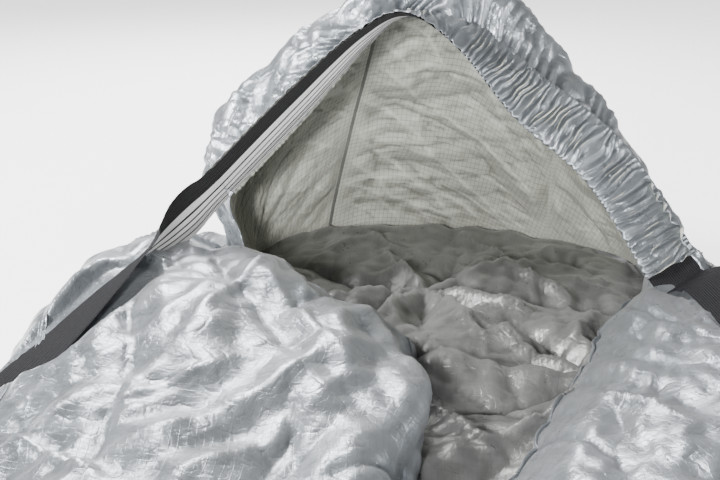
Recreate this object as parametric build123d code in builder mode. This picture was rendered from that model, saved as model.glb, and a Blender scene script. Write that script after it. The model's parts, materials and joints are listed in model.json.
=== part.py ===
"""Hooded bivy sack, lying on the ground with its hood held up. Millimetres.

+Y is the head end, +Z is up, and the origin is on the ground under the middle of the sack.
Soft panels are plain thin shells with the outer shape that the cloth fills.
"""

import math
import os

from build123d import *

# Driving dimensions
half_length = 1045.0
floor_thick = 2.0
cloth = 3.0  # a cloth panel's stand-in thickness
wall_height = 30.0  # the upright foot of the tub wall
tub_slope = 70.0  # how far the tub wall leans in
roof_slope = 150.0  # where the flat of the roof starts, from the side
tub_share = 0.80  # the tub wall's height over the roof's
side_x = 375.0  # the sack's greatest half width, at the shoulders

seam_half = 4.0
seam_rise = 1.2  # a felled seam's height above the cloth
far = 600.0  # beyond the object, for cutting shapes

# Sack stations from the foot to the head: y, half width, roof height
stations = [
    (-half_length, 235.0, 62.0),
    (-900.0, 262.0, 90.0),
    (-300.0, 312.0, 104.0),
    (200.0, 352.0, 114.0),
    (640.0, side_x, 116.0),
    (900.0, 350.0, 98.0),
    (half_length, 318.0, 74.0),
]

# Hood
hood_front = 800.0
hood_back = 1040.0
hood_base = 16.0
hood_pivot_z = 100.0  # the hood's front edge folds back about its feet, at this height
body_gap = 0.3  # clear space between the hood's panels and its moving front edge

# Hood arches from the front edge to the back: y, middle x, half width, peak height, lean of the peak
hood_arches = [
    (hood_front, 33.0, 239.0, 332.0, 33.0),
    (872.0, 40.0, 252.0, 366.0, 30.0),
    (960.0, 42.0, 242.0, 296.0, 20.0),
    (hood_back, 43.0, 219.0, 118.0, 0.0),
]
arch_steps = 14
arch_fullness = 0.8  # below 1 fills out the shoulders of an arch

# Strap of wide elastic
strap_width = 50.0
strap_thick = 1.6
gather_thick = 3.0
strap_left_end = 155.0  # the angle up the arch at which the strap leaves the hood
strap_right_end = 15.0
leg_gap = 9.0  # from the end of the hood's strap to its free leg, along the pull
anchor_y = 530.0
sewn_length = 52.0  # the strap's end that is sewn down on the tub wall's slope
patch_length = 70.0
patch_width = 60.0
patch_thick = 1.2
stitch_rise = 0.6
sewn_gap = 0.05  # keeps the sewn pieces' flat faces just apart

# Webbing loops
loop_width = 20.0
loop_length = 42.0
loop_height = 9.0
web_thick = 1.4
tab_length = 14.0
hang_lift = 8.0  # the hang loop's height above the hood
loop_x_head = 165.0
loop_x_foot = 205.0

os.makedirs("parts", exist_ok=True)


def finish(builder, name):
    """Labels a finished piece and writes it."""
    builder.part.label = name
    export_step(builder.part, f"parts/{name}.step")


def across(y):
    """The upright plane that crosses the sack at y, with local x to the right and local y up."""
    return Plane.XZ.offset(-y)


def sack_solid(inset, bottom, end_inset):
    """The sack's closed outer form, moved in by inset, from the height bottom up."""
    with BuildPart() as form:
        for y, half_width, height in stations:
            place = max(-half_length + end_inset, min(half_length - end_inset, y))
            low = wall_height - 0.4 * inset
            middle = (half_width - tub_slope - 0.6 * inset, tub_share * height - 0.8 * inset)
            top = (half_width - roof_slope, height - inset)
            right = [(half_width - inset, bottom), (half_width - inset, low), middle, top]
            left = [(-x, z) for x, z in reversed(right)]
            with BuildSketch(across(place)):
                with BuildLine():
                    Polyline(*right, *left, close=True)
                make_face()
        loft(ruled=True)
    return form.part


def arch_point(arch, angle, grow=0.0):
    """The point at an angle up an arch, from its right-hand foot, with the arch grown by grow."""
    _, middle, half_width, peak, lean = arch
    turn = math.radians(angle)
    rise = max(math.sin(turn), 0.0) ** arch_fullness
    x = middle + (half_width + grow) * math.cos(turn) - lean * math.sin(turn)
    return (x, hood_base + (peak + grow - hood_base) * rise)


def arch_outline(arch, grow=0.0):
    """The closed outline of an arch, with a little extra below its feet."""
    points = [arch_point(arch, 180 * step / arch_steps, grow) for step in range(arch_steps + 1)]
    (right, low), (left, _) = points[0], points[-1]
    return points + [(left, low - 20), (right, low - 20)]


def hood_solid(grow):
    """The hood's closed outer form, grown outwards by grow. Negative moves it in."""
    with BuildPart() as form:
        for arch in hood_arches:
            y = arch[0]
            if y == hood_back:
                y += grow
            if y == hood_front:
                y -= 30
            with BuildSketch(across(y)):
                with BuildLine():
                    Polyline(*arch_outline(arch, grow), close=True)
                make_face()
        loft(ruled=True)
    return form.part


def plan_prism(points, low=-50.0, high=500.0):
    """An upright prism over an outline in plan."""
    with BuildPart() as prism:
        with BuildSketch(Plane.XY.offset(low)):
            with BuildLine():
                Polyline(*points, close=True)
            make_face()
        extrude(amount=high - low)
    return prism.part


def front_band(inner, outer, y_low, y_high):
    """A band along the hood's front arch, between two growths of it."""
    with BuildPart() as band:
        for grow, mode in ((outer, Mode.ADD), (inner, Mode.SUBTRACT)):
            with BuildSketch(across(y_low)):
                with BuildLine():
                    Polyline(*arch_outline(hood_arches[0], grow), close=True)
                make_face()
            extrude(amount=y_low - y_high, mode=mode)
    return band.part


def side_line(inset):
    """The plan line that runs inset in from the right-hand side, foot to head."""
    return [(half_width - inset, y) for y, half_width, _ in stations]


# Shared forms
sack_shell = sack_solid(0, floor_thick, 0) - sack_solid(cloth, -5, cloth)
hood_form = hood_solid(0)
hood_shell = hood_form - hood_solid(-cloth)
hood_skin = hood_solid(seam_rise) - hood_form
tub_line = side_line(tub_slope)
foot_seam_y = -955.0

# The mouth, in plan: wide under the hood, narrowing to a round tip over the chest
mouth_outline = [
    (-222, far * 2),
    (-222, 790),
    (-120, 610),
    (-48, 440),
    (10, 392),
    (66, 400),
    (120, 470),
    (206, 640),
    (304, 790),
    (304, far * 2),
]
mouth = plan_prism(mouth_outline)

# Ground sheet
with BuildPart() as floor_panel:
    with BuildSketch():
        with BuildLine():
            right_side = side_line(0)
            Polyline(*right_side, *[(-x, y) for x, y in reversed(right_side)], close=True)
        make_face()
    extrude(amount=floor_thick)
finish(floor_panel, "floor_panel")

# Roof of the sack, cut away at the mouth
roof_plan = tub_line + [(-x, y) for x, y in reversed(tub_line)]
with BuildPart() as top_panel:
    add(sack_shell)
    add(plan_prism(roof_plan), mode=Mode.INTERSECT)
    add(mouth, mode=Mode.SUBTRACT)
    with Locations((0, foot_seam_y - far, 0)):
        Box(4 * far, 2 * far, 4 * far, mode=Mode.SUBTRACT)
finish(top_panel, "top_panel")

# Tub walls: the ground sheet's sides, turned up along the sack
for side, name in ((-1, "left_tub_wall"), (1, "right_tub_wall")):
    outer_line = [(far, half_length), (far, foot_seam_y)]
    above_foot = [(x, y) for x, y in tub_line if y > foot_seam_y]
    share = (foot_seam_y - stations[0][0]) / (stations[1][0] - stations[0][0])
    seam_x = tub_line[0][0] + share * (tub_line[1][0] - tub_line[0][0])
    wall_plan = outer_line + [(seam_x, foot_seam_y)] + above_foot
    with BuildPart() as wall:
        add(sack_shell)
        add(plan_prism([(side * x, y) for x, y in wall_plan]), mode=Mode.INTERSECT)
        add(mouth, mode=Mode.SUBTRACT)
    finish(wall, name)

# Foot panel: closes the end of the sack
with BuildPart() as foot_panel:
    add(sack_shell)
    with Locations((0, foot_seam_y - far, 0)):
        Box(4 * far, 2 * far, 4 * far, mode=Mode.INTERSECT)
finish(foot_panel, "foot_panel")

# Felled seams stand proud of the sack
sack_skin = sack_solid(-seam_rise, floor_thick, 0) - sack_solid(0, -5, 0)
for side, name in ((-1, "left_tub_seam"), (1, "right_tub_seam")):
    inner = [(x - seam_half, y) for x, y in tub_line[1:]]
    outer = [(x + seam_half, y) for x, y in reversed(tub_line[1:])]
    with BuildPart() as seam:
        add(sack_skin)
        add(plan_prism([(side * x, y) for x, y in inner + outer]), mode=Mode.INTERSECT)
        add(mouth, mode=Mode.SUBTRACT)
    finish(seam, name)

with BuildPart() as foot_seam:
    add(sack_skin)
    with Locations((0, foot_seam_y, 0)):
        Box(4 * far, 2 * seam_half, 4 * far, mode=Mode.INTERSECT)
finish(foot_seam, "foot_seam")

# Rolled hem round the mouth, under the roof's cut edge
hem_width = 9.0
hem_drop = 2.4
with BuildPart() as mouth_hem:
    add(sack_solid(cloth, -5, cloth) - sack_solid(cloth + hem_drop, -5, cloth))
    with BuildSketch(Plane.XY.offset(60)):
        with BuildLine():
            Polyline(*mouth_outline[1:-1])
            offset(amount=hem_width, side=Side.RIGHT)
        make_face()
    extrude(amount=100, mode=Mode.INTERSECT)
finish(mouth_hem, "mouth_hem")

# Hood panels, cut along two seams that fan out from the front edge
left_seam = [(-14, hood_front), (-90, hood_back + 60)]
right_seam = [(134, hood_front), (200, hood_back + 60)]
hood_plans = {
    "hood_left_panel": left_seam + [(-far, hood_back + 60), (-far, hood_front)],
    "hood_back_panel": left_seam + right_seam[::-1],
    "hood_right_panel": right_seam + [(far, hood_back + 60), (far, hood_front)],
}
for name, plan in hood_plans.items():
    with BuildPart() as panel:
        add(hood_shell)
        add(plan_prism(plan, low=hood_base, high=far), mode=Mode.INTERSECT)
    finish(panel, name)

for name, line in (("hood_left_seam", left_seam), ("hood_right_seam", right_seam)):
    near_line = [(x - seam_half, y) for x, y in line]
    far_line = [(x + seam_half, y) for x, y in reversed(line)]
    with BuildPart() as seam:
        add(hood_skin)
        add(plan_prism(near_line + far_line, low=hood_base, high=far), mode=Mode.INTERSECT)
    finish(seam, name)

# The strap in the hood's edge, and the gathered cloth sewn over its outer face
band_back = hood_front - body_gap
band_front = band_back - strap_width
front_arch = hood_arches[0]
left_end = arch_point(front_arch, strap_left_end)
right_end = arch_point(front_arch, strap_right_end)
covered = [
    (-far, left_end[1]),
    (0, left_end[1]),
    (0, right_end[1]),
    (far, right_end[1]),
    (far, far),
    (-far, far),
]
with BuildPart() as strap_region:
    with BuildSketch(across(band_front - 20)):
        with BuildLine():
            Polyline(*covered, close=True)
        make_face()
    extrude(amount=-(strap_width + 40))

with BuildPart() as strap_arch:
    add(front_band(-strap_thick, 0, band_front, band_back))
    add(strap_region.part, mode=Mode.INTERSECT)
finish(strap_arch, "strap_arch")

with BuildPart() as hood_gather:
    add(front_band(0, gather_thick, band_front + 4, band_back))
    add(strap_region.part, mode=Mode.INTERSECT)
finish(hood_gather, "hood_gather")

# Hems on the hood's front edge, from its feet up to the strap's ends
hem_depth = 12.0
for side, name, end in ((-1, "hood_left_hem", left_end), (1, "hood_right_hem", right_end)):
    height = end[1] - hood_pivot_z
    with BuildPart() as hem:
        add(front_band(-cloth, 0, band_back - hem_depth, band_back))
        with Locations((side * far / 2, hood_front, hood_pivot_z + height / 2)):
            Box(far, 4 * hem_depth, height, mode=Mode.INTERSECT)
    finish(hem, name)

# The tub wall's slope where the strap is sewn down, on the right-hand side
(near_y, near_half, near_height), (far_y, far_half, far_height) = stations[3:5]
share = (anchor_y - near_y) / (far_y - near_y)
anchor_half = near_half + share * (far_half - near_half)
anchor_height = near_height + share * (far_height - near_height)
slope_low = Vector(anchor_half, anchor_y, wall_height)
slope_high = Vector(anchor_half - tub_slope, anchor_y, tub_share * anchor_height)
uphill = (slope_high - slope_low).normalized()
lengthways = Vector(far_half - near_half, far_y - near_y, 0).normalized()
off_wall = lengthways.cross(uphill)
if off_wall.X < 0:
    off_wall = off_wall * -1
wall_gap = 0.3  # keeps the flat patch clear of the slightly twisted wall


def mirrored(vector, side):
    """The vector itself on the right-hand side, or its mirror image on the left."""
    return Vector(side * vector.X, vector.Y, vector.Z)


# Each free leg of the strap runs down from the hood's edge to the tub wall and is sewn flat on it
strap_middle = band_back - strap_width / 2
strap_lift = wall_gap + patch_thick + sewn_gap + strap_thick / 2
landing_lift = 16.0  # how far above the wall the strap still is, one landing before its sewn end
landing = 45.0
for side, word, end in ((-1, "left", left_end), (1, "right", right_end)):
    normal = mirrored(off_wall, side)
    sewn_start = mirrored(slope_high - uphill * (strap_width / 2 + 12), side) + normal * strap_lift
    top = Vector(end[0], strap_middle, end[1])
    pull = (sewn_start - top).normalized()
    top = top + pull * leg_gap
    along = (pull - normal * pull.dot(normal)).normalized()
    across_strap = normal.cross(along)
    bend = sewn_start - along * landing + normal * landing_lift
    foot = sewn_start + along * sewn_length
    places = [
        (top, Vector(0, 1, 0), Vector(pull.X, 0, pull.Z).normalized()),
        (bend, across_strap, (pull + along).normalized()),
        (sewn_start, across_strap, along),
        (foot, across_strap, along),
    ]
    with BuildPart() as leg:
        for point, width_way, way in places:
            with BuildSketch(Plane(origin=point, x_dir=width_way, z_dir=way)):
                Rectangle(strap_width, strap_thick)
        loft(ruled=True)
    finish(leg, f"strap_{word}_leg")

    # The patch under the strap's end, and the stitching that holds the end down
    sewn_middle = sewn_start + along * (sewn_length / 2)
    patch_middle = sewn_middle - normal * ((strap_thick + patch_thick) / 2 + sewn_gap)
    with BuildPart(Plane(origin=patch_middle, x_dir=along, z_dir=normal)) as patch:
        Box(patch_length, patch_width, patch_thick)
    finish(patch, f"{word}_anchor_patch")
    stitch_middle = sewn_middle + normal * ((strap_thick + stitch_rise) / 2 + sewn_gap)
    with BuildPart(Plane(origin=stitch_middle, x_dir=along, z_dir=normal)) as stitching:
        with GridLocations(1, strap_width - 10, 1, 2):
            Box(sewn_length - 14, 2, stitch_rise)
        with GridLocations(sewn_length - 16, 1, 2, 1):
            Box(2, strap_width - 12, stitch_rise)
    finish(stitching, f"{word}_anchor_stitching")
    print(word, "strap runs from", top, "to", foot)


def web_loop(place):
    """A flat loop of webbing that starts at the plane's origin and runs along its local x."""
    with BuildPart() as loop:
        with BuildSketch(place) as section:
            with Locations((loop_length / 2, 0)):
                SlotOverall(loop_length, loop_height)
                SlotOverall(loop_length - 2 * web_thick, loop_height - 2 * web_thick, mode=Mode.SUBTRACT)
        extrude(amount=loop_width / 2, both=True)
    return loop


# Stake loops at the four corners, each on a tab sewn to the ground sheet
hinge_gap = 2.0
for end, word_end, loop_x in ((1, "head", loop_x_head), (-1, "foot", loop_x_foot)):
    for side, word_side in ((-1, "left"), (1, "right")):
        edge_y = end * half_length
        with BuildPart() as tab:
            with Locations((side * loop_x, edge_y + end * tab_length / 2, 1.0)):
                Box(loop_width, tab_length, 2.0)
        finish(tab, f"{word_end}_{word_side}_loop_tab")
        start = (side * loop_x, edge_y + end * (tab_length + hinge_gap), loop_height / 2)
        loop = web_loop(Plane(origin=start, x_dir=(0, end, 0), z_dir=(1, 0, 0)))
        finish(loop, f"{word_end}_{word_side}_stake_loop")

# Loop for hanging the hood up, lying down the back of the hood from its peak
peak = Vector(0, hood_arches[1][0], hood_arches[1][3])
slope_end = Vector(0, hood_arches[2][0], hood_arches[2][3])
down_slope = (slope_end - peak).normalized()
off_slope = Vector(0, -down_slope.Z, down_slope.Y)
hang_start = peak + down_slope * 12 + off_slope * hang_lift
hang_loop = web_loop(Plane(origin=hang_start, x_dir=down_slope, z_dir=(1, 0, 0)))
finish(hang_loop, "hang_loop")

with BuildPart() as hang_patch:
    add(hood_skin)
    with Locations(peak):
        Box(44, 36, 60, mode=Mode.INTERSECT)
finish(hang_patch, "hang_loop_patch")
print("hang loop starts at", hang_start)
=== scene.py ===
import json
import math

import bpy
import numpy as np
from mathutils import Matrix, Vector
from mathutils.bvhtree import BVHTree


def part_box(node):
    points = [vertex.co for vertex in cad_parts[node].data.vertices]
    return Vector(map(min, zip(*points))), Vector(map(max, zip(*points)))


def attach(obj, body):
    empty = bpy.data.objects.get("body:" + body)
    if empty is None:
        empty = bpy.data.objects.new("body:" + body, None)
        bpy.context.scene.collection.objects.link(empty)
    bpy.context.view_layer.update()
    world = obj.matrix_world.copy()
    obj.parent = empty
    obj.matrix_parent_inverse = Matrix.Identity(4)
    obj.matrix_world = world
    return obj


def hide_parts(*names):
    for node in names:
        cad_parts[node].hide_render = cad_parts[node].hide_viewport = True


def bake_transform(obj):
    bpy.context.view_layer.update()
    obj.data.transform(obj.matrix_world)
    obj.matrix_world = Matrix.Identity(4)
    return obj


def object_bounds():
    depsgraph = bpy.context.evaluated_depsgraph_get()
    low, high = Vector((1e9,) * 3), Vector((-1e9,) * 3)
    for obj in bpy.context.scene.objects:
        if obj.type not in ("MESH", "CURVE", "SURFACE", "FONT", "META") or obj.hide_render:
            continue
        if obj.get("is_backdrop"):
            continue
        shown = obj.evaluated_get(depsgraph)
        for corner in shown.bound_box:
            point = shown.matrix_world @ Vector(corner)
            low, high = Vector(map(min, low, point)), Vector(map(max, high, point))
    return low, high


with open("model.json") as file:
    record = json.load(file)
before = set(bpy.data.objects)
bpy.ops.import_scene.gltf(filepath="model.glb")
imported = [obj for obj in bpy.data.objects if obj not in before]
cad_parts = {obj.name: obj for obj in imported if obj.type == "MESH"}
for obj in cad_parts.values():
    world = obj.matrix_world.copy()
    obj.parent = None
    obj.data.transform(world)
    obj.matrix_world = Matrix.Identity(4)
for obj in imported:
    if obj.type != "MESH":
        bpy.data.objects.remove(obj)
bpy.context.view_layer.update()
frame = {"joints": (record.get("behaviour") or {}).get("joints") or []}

scene = bpy.context.scene

# -------- camera, lights and world
camera = bpy.data.objects.new("camera", bpy.data.cameras.new("camera"))
scene.collection.objects.link(camera)
camera.location = (-0.04, -0.2, 0.46)
camera.rotation_euler = (math.radians(70), 0, 0)
camera.data.lens = 50
camera.data.sensor_width = 36
camera.data.clip_start = 0.02
scene.camera = camera


def area_light(name, place, target, size, power):
    light = bpy.data.objects.new(name, bpy.data.lights.new(name, "AREA"))
    scene.collection.objects.link(light)
    light.data.size = size
    light.data.energy = power
    light.location = place
    light.rotation_euler = (Vector(target) - Vector(place)).to_track_quat("-Z", "Y").to_euler()


area_light("key_light", (-1.5, 0.5, 1.25), (0, 0.7, 0.1), 0.45, 72)
area_light("front_light", (-0.40, -0.95, 0.66), (-0.02, 0.95, 0.14), 0.25, 40)
area_light("side_light", (1.5, 0.4, 0.5), (0.1, 0.7, 0.1), 0.4, 14)
area_light("back_light", (-0.4, 2.5, 1.6), (0, 0.7, 0.1), 0.8, 95)

world = bpy.data.worlds.new("studio")
scene.world = world
world.use_nodes = True
background = world.node_tree.nodes["Background"].inputs
background["Color"].default_value = (1.0, 1.0, 1.0, 1)
background["Strength"].default_value = 0.12


# -------- materials
class Finish:
    """A material, with short ways to add nodes to it. A value is a number, a colour or a socket."""

    def __init__(self, name, roughness, specular=0.5, sheen=0.0, metallic=0.0):
        self.material = bpy.data.materials.new(name)
        self.material.use_nodes = True
        self.tree = self.material.node_tree
        self.shader = self.tree.nodes["Principled BSDF"].inputs
        self.fill(self.shader, {"Roughness": roughness, "Specular IOR Level": specular,
                                "Sheen Weight": sheen, "Metallic": metallic})
        self.coordinates = self.add("TexCoord")

    def fill(self, inputs, values):
        for key, value in values.items():
            if isinstance(value, bpy.types.NodeSocket):
                self.tree.links.new(value, inputs[key])
            elif isinstance(value, tuple):
                inputs[key].default_value = (*value, 1)
            else:
                inputs[key].default_value = value

    def add(self, kind, values=(), **settings):
        """The outputs of a new node."""
        node = self.tree.nodes.new("ShaderNode" + kind)
        for name, value in settings.items():
            setattr(node, name, value)
        self.fill(node.inputs, dict(values))
        return node.outputs

    def flat(self):
        """Places on the flat cloth, in metres."""
        return self.add("SeparateXYZ", {0: self.coordinates["UV"]})

    def math(self, operation, *values):
        return self.add("Math", enumerate(values), operation=operation)[0]

    def times(self, first, second):
        return self.math("MULTIPLY", first, second)

    def off_half(self, value):
        return self.math("ABSOLUTE", self.math("SUBTRACT", value, 0.5))

    def noise(self, scale, detail=3.0, rough=0.5):
        return self.add("TexNoise", {"Vector": self.coordinates["Object"], "Scale": scale, "Detail": detail,
                                     "Roughness": rough})["Fac"]

    def ramp(self, value, low, high, out_low=0.0, out_high=1.0):
        return self.add("MapRange", {"Value": value, "From Min": low, "From Max": high,
                                     "To Min": out_low, "To Max": out_high})["Result"]

    def mix(self, share, first, second):
        return self.add("Mix", {0: share, 6: first, 7: second}, data_type="RGBA")[2]

    def bump(self, height, strength, distance, before=None):
        values = {"Height": height, "Strength": strength, "Distance": distance}
        if before is not None:
            values["Normal"] = before
        return self.add("Bump", values)["Normal"]


grid_pitch, weave_pitch, knit_pitch = 0.0055, 0.0011, 0.0016


def ripstop(name, pale, deep, line, line_share, roughness, metallic=0.0, sheen=0.15, lower=False):
    """Thin ripstop nylon: a fine weave with a square grid of thicker threads, soft creases and a sheen.

    The colour has painted shade in the mesh's furrows and a painted highlight on its ridges, read from the
    fold attribute. lower is for a sheet's second side."""
    finish = Finish(name, roughness, 0.5, sheen, metallic)
    flat = finish.flat()
    lines, threads = [], []
    for axis in (0, 1):
        across = finish.math("FRACT", finish.times(flat[axis], 1 / grid_pitch))
        lines.append(finish.ramp(finish.off_half(across), 0.44, 0.485))
        threads.append(finish.math("SINE", finish.times(flat[axis], 2 * math.pi / weave_pitch)))
    grid = finish.math("MAXIMUM", *lines)
    weave = finish.times(*threads)
    cloudy, mottled = finish.noise(9.0), finish.noise(55.0, 4.0, 0.6)
    tone = finish.math("ADD", finish.times(cloudy, 0.6), finish.times(mottled, 0.4))
    cloth = finish.mix(finish.ramp(tone, 0.38, 0.62), deep, pale)
    cloth = finish.mix(finish.times(grid, line_share), cloth, line)
    # Painted shade: the colour turns towards the grid-line colour in the mesh's furrows. Painted highlight:
    # it turns paler on the ridges.
    fold = finish.add("Attribute", attribute_name="fold")["Fac"]
    turned = finish.times(fold, -1.0 if lower else 1.0)
    cloth = finish.mix(finish.ramp(turned, 0.12, 1.0, 0.0, 0.62), cloth, line)
    ridge_highlight = tuple(min(1.0, 1.35 * part) for part in pale)
    cloth = finish.mix(finish.ramp(turned, -0.15, -1.0, 0.0, 0.45), cloth, ridge_highlight)
    worn = finish.ramp(mottled, 0.3, 0.7, roughness - 0.07, roughness + 0.09)
    # Soft creases: the sharp valleys where a noise crosses its middle
    creased = []
    for scale in (38.0, 90.0):
        creased.append(finish.ramp(finish.off_half(finish.noise(scale, 2.0, 0.45)), 0.0, 0.07))
    normal = finish.bump(finish.math("ADD", creased[0], finish.times(creased[1], 0.4)), 0.35, 0.0008)
    normal = finish.bump(grid, 0.5, 0.00012, normal)
    normal = finish.bump(weave, 0.35, 0.00006, normal)
    finish.fill(finish.shader, {"Base Color": cloth, "Roughness": worn, "Normal": normal})
    return finish.material


def woven_tape(name, pale, deep, rib_pitch, roughness, bands=()):
    """Woven tape with ribs along its length.

    bands are pale stripes: where each starts and ends across the tape, in metres, and if it is dotted."""
    finish = Finish(name, roughness, 0.08)
    across, along, _ = finish.flat()
    rib = finish.math("SINE", finish.times(across, 2 * math.pi / rib_pitch))
    knit = finish.math("SINE", finish.times(along, 2 * math.pi / knit_pitch))
    fuzz = finish.noise(900.0, 2.0)
    tone = finish.math("ADD", finish.times(rib, 0.3), finish.times(fuzz, 0.9))
    cloth = finish.mix(finish.ramp(tone, 0.1, 0.8), deep, pale)
    if bands:
        white = finish.mix(finish.ramp(fuzz, 0.3, 0.7), (0.72, 0.72, 0.71), (0.93, 0.93, 0.92))
    for start, end, dotted in bands:
        inside = finish.times(finish.math("GREATER_THAN", across, start),
                              finish.math("LESS_THAN", across, end))
        if dotted:
            inside = finish.times(inside, finish.ramp(knit, -0.5, 0.1))
        cloth = finish.mix(inside, cloth, white)
    normal = finish.bump(finish.times(knit, fuzz), 0.6, 0.0002, finish.bump(rib, 0.7, 0.0003))
    finish.fill(finish.shader, {"Base Color": cloth, "Normal": normal})
    return finish.material


def sewing_thread(name, pale, deep):
    """Twisted sewing thread."""
    finish = Finish(name, 0.6, 0.4, 0.2)
    fuzz = finish.noise(1500.0, 2.0)
    finish.fill(finish.shader, {"Base Color": finish.mix(fuzz, deep, pale),
                                "Normal": finish.bump(fuzz, 0.6, 0.0002)})
    return finish.material


SILVER = ripstop("silver_ripstop", (0.28, 0.30, 0.32), (0.205, 0.225, 0.245), (0.15, 0.165, 0.18),
                 0.4, 0.32, 0.65)
COATED = ripstop("coated_inside", (0.56, 0.565, 0.495), (0.45, 0.455, 0.395), (0.13, 0.135, 0.11),
                 0.85, 0.45, lower=True)
# The silver cloth, a little darker as painted shade for the sack's shaded inside and the valley, and warmer
# in tone.
SHADED_SILVER = ripstop("valley_silver", (0.26, 0.26, 0.255), (0.19, 0.19, 0.185), (0.14, 0.14, 0.135),
               0.4, 0.33, 0.55)
# A darker copy of the coated cloth, used on the left hood seam's inner face only: painted shade along the
# fold at that seam.
SEAM_SHADE = ripstop("shaded_coated_seam", (0.20, 0.20, 0.18), (0.13, 0.13, 0.12), (0.08, 0.08, 0.075), 0.5, 0.5)
DARK_PATCH = ripstop("dark_patch", (0.075, 0.078, 0.08), (0.05, 0.052, 0.055), (0.03, 0.03, 0.032), 0.5, 0.6)
CHARCOAL = woven_tape("charcoal_elastic", (0.030, 0.030, 0.032), (0.010, 0.010, 0.011), 0.0022, 0.85)
STRIPES = [(0.0190, 0.0262, False), (0.0284, 0.0332, False), (0.0348, 0.0386, False),
           (0.0402, 0.0438, True), (0.0452, 0.0500, True)]
STRIPED = woven_tape("striped_elastic", (0.045, 0.045, 0.046), (0.012, 0.012, 0.012), 0.0022, 0.6, STRIPES)
WEBBING = woven_tape("black_webbing", (0.06, 0.06, 0.062), (0.02, 0.02, 0.021), 0.0025, 0.55)
THREAD = sewing_thread("dark_thread", (0.04, 0.04, 0.042), (0.015, 0.015, 0.016))


# -------- shape helpers
def spline(points, at):
    """The smooth curve through a list of points or rows of points, at places counted in list items."""
    points = np.asarray(points, float)
    at = np.asarray(at, float)
    index = np.clip(np.floor(at).astype(int), 0, len(points) - 2)
    part = (at - index).reshape(at.shape + (1,) * (points.ndim - 1))
    before = points[np.maximum(index - 1, 0)]
    first = points[index]
    second = points[index + 1]
    after = points[np.minimum(index + 2, len(points) - 1)]
    return 0.5 * (2 * first + (second - before) * part
                  + (2 * before - 5 * first + 4 * second - after) * part ** 2
                  + (3 * first - before - 3 * second + after) * part ** 3)


def lengths(grid, axis=0):
    """How far along an axis each point of a line or a grid is from the first."""
    first = grid[:1] if axis == 0 else grid[:, :1]
    return np.cumsum(np.linalg.norm(np.diff(grid, axis=axis, prepend=first), axis=-1), axis=axis)


def even_places(points, count):
    """Places along a curve through points, counted in list items, that are evenly spaced in length."""
    fine = np.linspace(0, len(points) - 1, 40 * len(points))
    length = lengths(spline(points, fine))
    return np.interp(np.linspace(0, length[-1], count), length, fine), length[-1]


def unit(vectors):
    return vectors / np.maximum(np.linalg.norm(vectors, axis=-1, keepdims=True), 1e-12)


def normals_of(grid):
    """The normals of a grid of points, from its second index's direction to its first's."""
    return unit(np.cross(np.gradient(grid, axis=0), np.gradient(grid, axis=1)))


def doubled(grid, axis):
    """A grid with a smooth point added between each two along an axis."""
    grid = np.moveaxis(grid, axis, 0)
    padded = np.concatenate([2 * grid[:1] - grid[1:2], grid, 2 * grid[-1:] - grid[-2:-1]])
    middle = (9 * (padded[1:-2] + padded[2:-1]) - padded[:-3] - padded[3:]) / 16
    out = np.empty((2 * len(grid) - 1,) + grid.shape[1:])
    out[::2] = grid
    out[1::2] = middle
    return np.moveaxis(out, 0, axis)


def smooth_noise(random, shape, cell):
    """A smooth random field over a grid, with lumps about cell points across, from -1 to 1."""
    rows, columns = (int(size / cell) + 4 for size in shape)
    coarse = random.uniform(-1, 1, (rows, columns))
    first = spline(coarse, np.linspace(1, rows - 3, shape[0]))
    return spline(first.T, np.linspace(1, columns - 3, shape[1])).T


def pair(grid, across, along):
    """The two windows of a grid that hold the ends of every thread in one direction."""
    rows, columns = grid.shape[:2]
    first = grid[:rows - across, max(0, -along):columns - max(0, along)]
    second = grid[across:, max(0, along):columns + min(0, along)]
    return first, second


def bending(grid):
    """How far each point of a grid is from the mean of its four neighbours, and zero along the border."""
    bend = np.zeros_like(grid)
    around = grid[:-2, 1:-1] + grid[2:, 1:-1] + grid[1:-1, :-2] + grid[1:-1, 2:]
    bend[1:-1, 1:-1] = around / 4 - grid[1:-1, 1:-1]
    return bend


def blurred(grid, reach):
    """A grid of numbers, each replaced by the mean over a square of reach points to each side."""
    for axis in (0, 1):
        grid = np.moveaxis(grid, axis, 0)
        size = 2 * reach + 1
        padded = np.concatenate([grid[:1]] * (reach + 1) + [grid] + [grid[-1:]] * reach)
        total = np.cumsum(padded, axis=0)
        grid = np.moveaxis((total[size:] - total[:-size]) / size, 0, axis)
    return grid


# Steps from a point of a grid to the next along a thread, and the shares of both excesses that each takes
thread_steps = (((1, 0), (1, 0)), ((0, 1), (0, 1)), ((1, 1), (0.5, 0.5)), ((1, -1), (0.5, 0.5)))


# Levels of detail, from coarse to fine: halvings of the grid, steps of the solver and share of the excess
levels = ((3, 500, 0.45), (2, 300, 0.7), (1, 160, 0.9), (0, 60, 1.0))
stiffness = 0.14
# The lowest height of the top cloth before and after its folds, and of the ground sheet
top_lowest, folded_lowest, ground_lowest = 0.0025, 0.0022, 0.0012


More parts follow.
